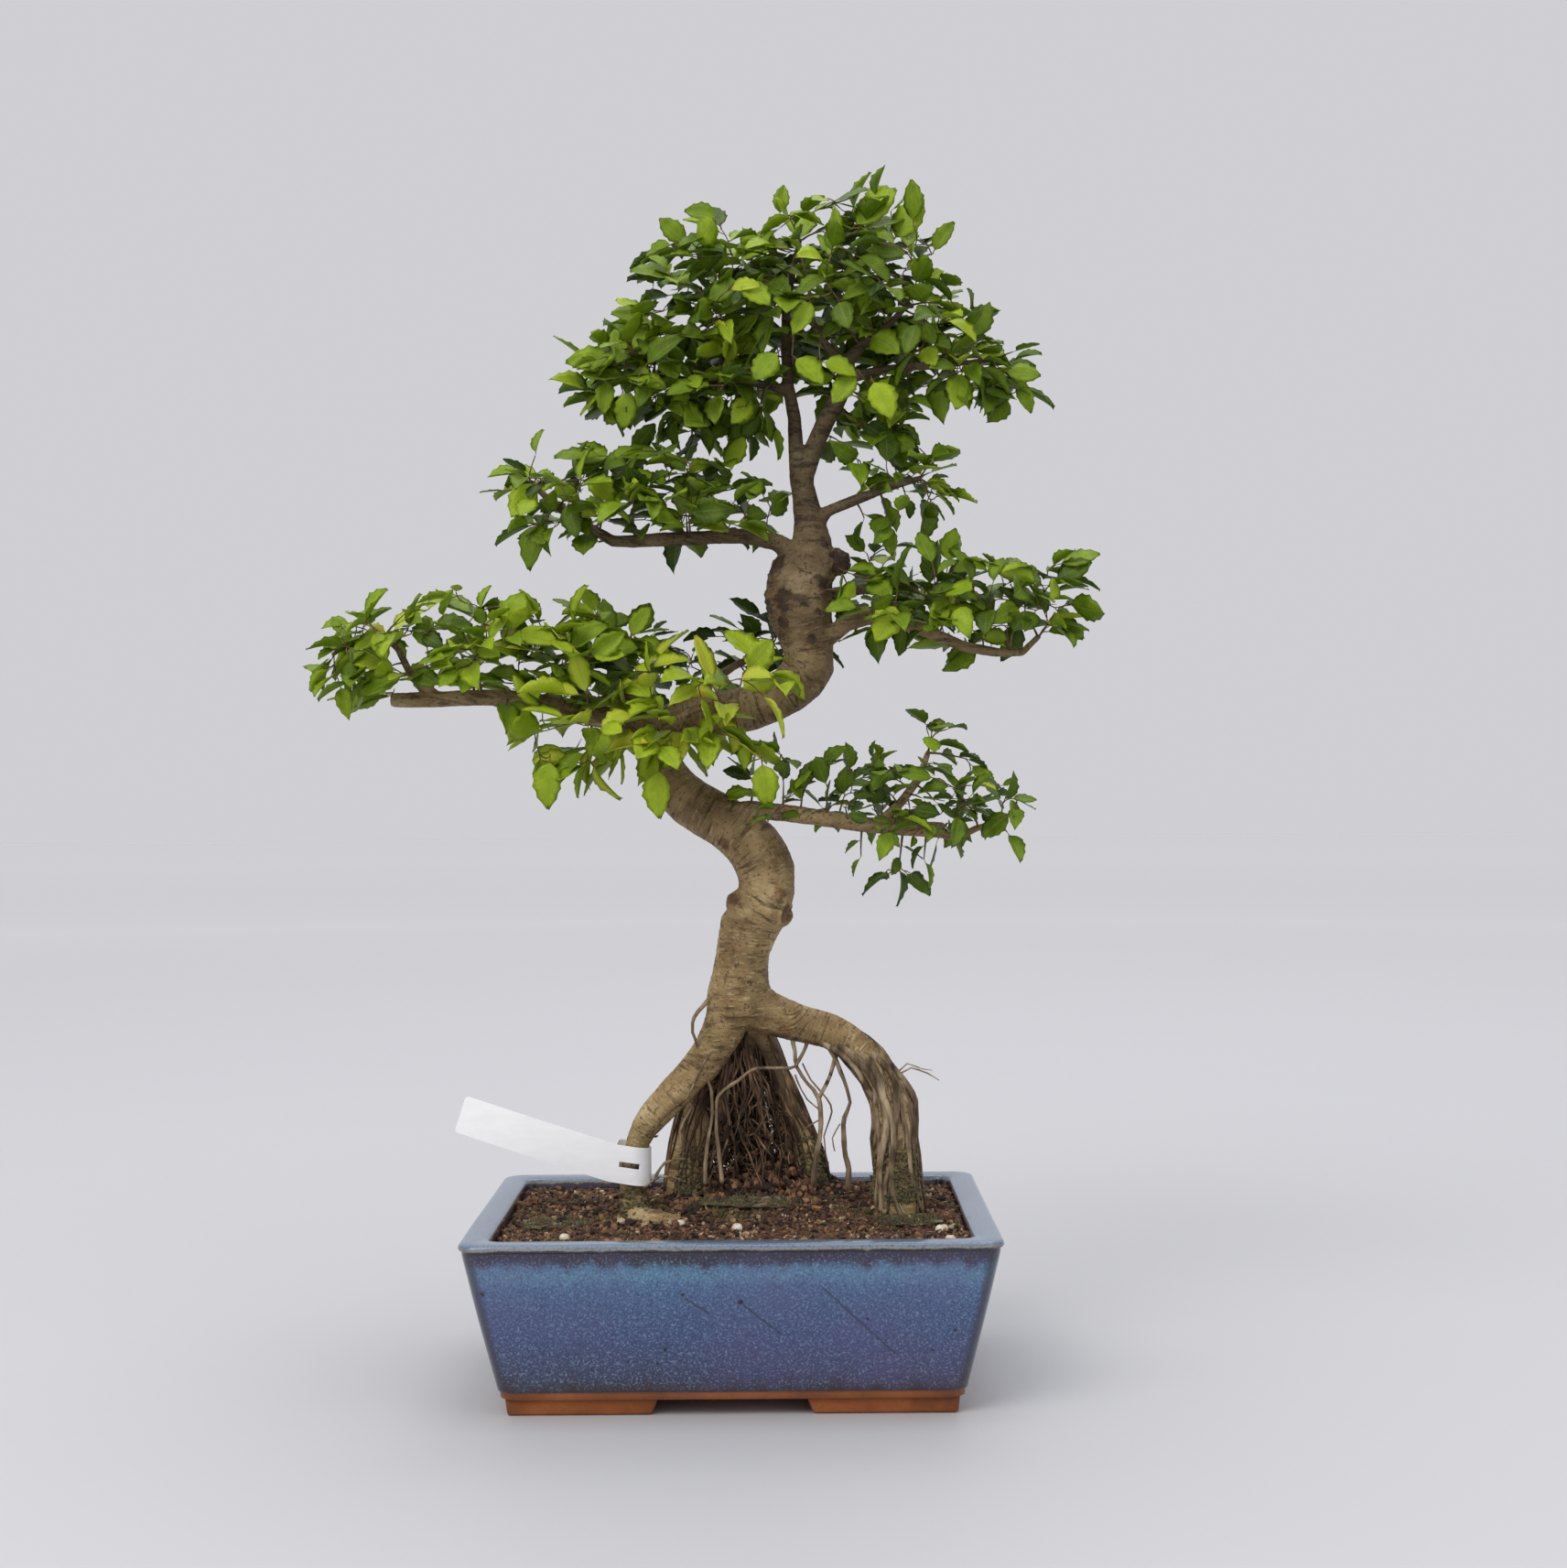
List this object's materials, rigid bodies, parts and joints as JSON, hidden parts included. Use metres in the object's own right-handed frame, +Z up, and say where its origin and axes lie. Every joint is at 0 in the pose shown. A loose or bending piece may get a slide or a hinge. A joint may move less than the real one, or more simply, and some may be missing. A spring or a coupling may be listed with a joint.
{
  "type": "bonsai tree in a pot",
  "caption": "S-curved bonsai elm with exposed stilt roots and layered leaf pads, growing from mounded soil in a blue glazed rectangular pot on low corner feet.",
  "frame": {"origin": "centre of the whole plan box on the surface that the pot's feet stand on", "axes": "+Z up along the trunk, +X along the long side of the pot to the right of the front view, +Y away from the front"},
  "size_m": [0.396, 0.2, 0.617],
  "materials": {
    "glaze": "mottled slate-blue gloss glaze over unglazed orange-brown feet",
    "soil": "coarse dark brown potting mix",
    "bark": "grey-tan finely wrinkled bark",
    "leaf": "satin serrated leaves",
    "leaf_bright": "satin young leaves, lime green",
    "label": "thin white plastic strip, blank",
    "screen": "black plastic mesh",
    "moss": "short olive moss",
    "pebble": "dull tan grit",
    "bark_chip": "rough orange-brown chip"
  },
  "bodies": {
    "root": {"pot": "glaze", "soil": "soil", "trunk": "bark", "plant_label": "label", "drain_screen_left": "screen", "drain_screen_right": "screen", "foliage_crown_top": "leaf", "foliage_crown_left": "leaf", "foliage_crown_right": "leaf", "foliage_upper_left": "leaf", "foliage_upper_right": "leaf", "foliage_mid_right": "leaf", "foliage_low_left": "leaf_bright", "foliage_low_front": "leaf_bright", "foliage_low_right": "leaf", "foliage_back_low": "leaf", "foliage_back_high": "leaf", "moss_centre": "moss", "moss_right": "moss", "moss_back": "moss", "moss_left": "moss", "pebble_1": "pebble", "pebble_2": "pebble", "pebble_3": "pebble", "pebble_4": "pebble", "pebble_5": "pebble", "pebble_6": "pebble", "bark_chip_1": "bark_chip", "bark_chip_2": "bark_chip", "bark_chip_3": "bark_chip", "bark_chip_4": "bark_chip"}
  },
  "joints": []
}
